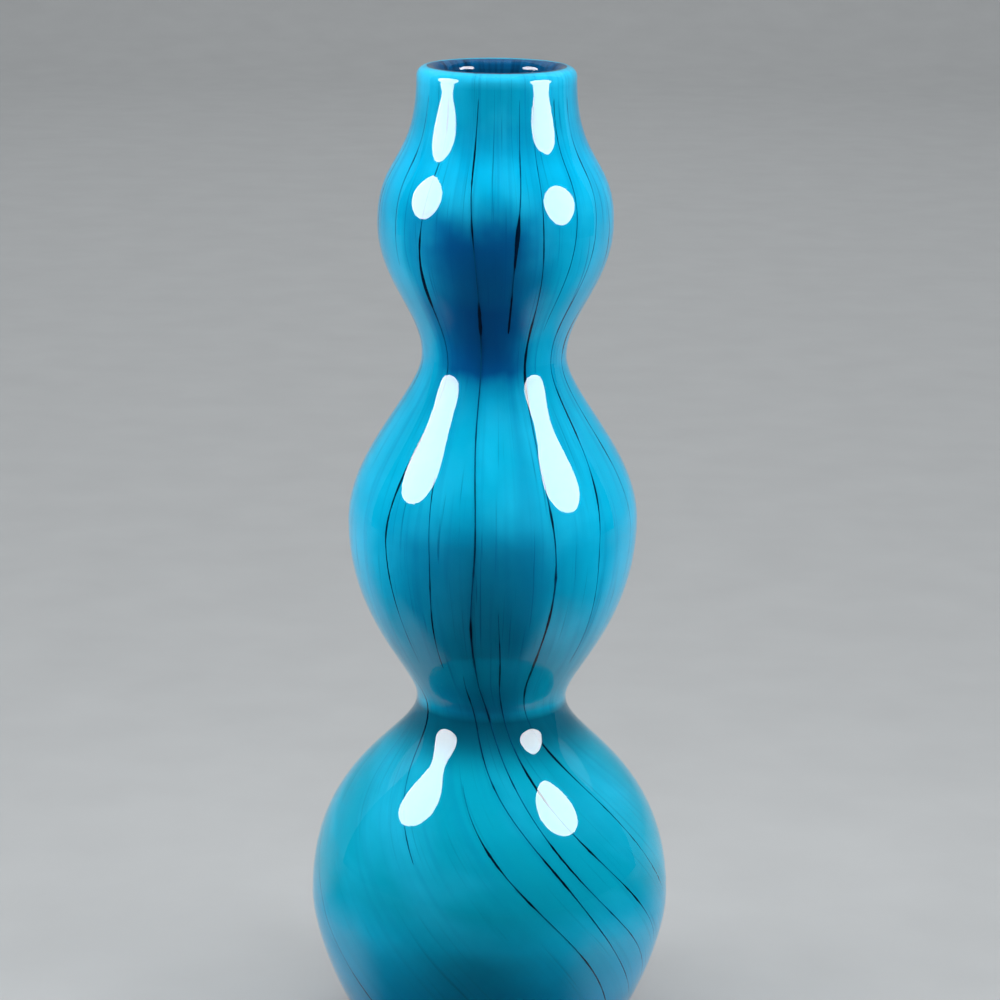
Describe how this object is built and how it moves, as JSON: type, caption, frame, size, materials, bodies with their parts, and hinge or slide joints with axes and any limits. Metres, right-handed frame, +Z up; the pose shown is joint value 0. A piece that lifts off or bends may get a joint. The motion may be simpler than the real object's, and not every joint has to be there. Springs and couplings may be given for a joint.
{
  "type": "triple gourd vase",
  "caption": "Tall blown-glass vase of three stacked round bulbs with narrow waists, turquoise with dark streaks under a clear casing; holds flower stems and water, stands on a flat foot.",
  "frame": {"origin": "centre of the foot's flat face, on the surface that the vase stands on", "axes": "+Z up along the vase's axis, -Y towards the viewer of the picture, +X to the viewer's right"},
  "size_m": [0.1092, 0.1092, 0.3033],
  "materials": {
    "inner_glass": "glossy blown glass, blue in the shade of the hollow",
    "turquoise_glass": "opaque turquoise glass",
    "dark_glass": "dark navy glass thread",
    "clear_glass": "clear, glossy, fire-polished casing"
  },
  "bodies": {
    "root": {"inner_gather": "inner_glass", "colour_layer": "turquoise_glass", "dark_thread_01": "dark_glass", "dark_thread_02": "dark_glass", "dark_thread_03": "dark_glass", "dark_thread_04": "dark_glass", "dark_thread_05": "dark_glass", "dark_thread_06": "dark_glass", "dark_thread_07": "dark_glass", "dark_thread_08": "dark_glass", "dark_thread_09": "dark_glass", "dark_thread_10": "dark_glass", "dark_thread_11": "dark_glass", "dark_thread_12": "dark_glass", "dark_thread_13": "dark_glass", "dark_thread_14": "dark_glass", "dark_thread_15": "dark_glass", "dark_thread_16": "dark_glass", "dark_thread_17": "dark_glass", "dark_thread_18": "dark_glass", "dark_thread_19": "dark_glass", "dark_thread_20": "dark_glass", "dark_thread_21": "dark_glass", "dark_thread_22": "dark_glass", "dark_thread_23": "dark_glass", "dark_thread_24": "dark_glass", "clear_casing": "clear_glass"}
  },
  "joints": []
}
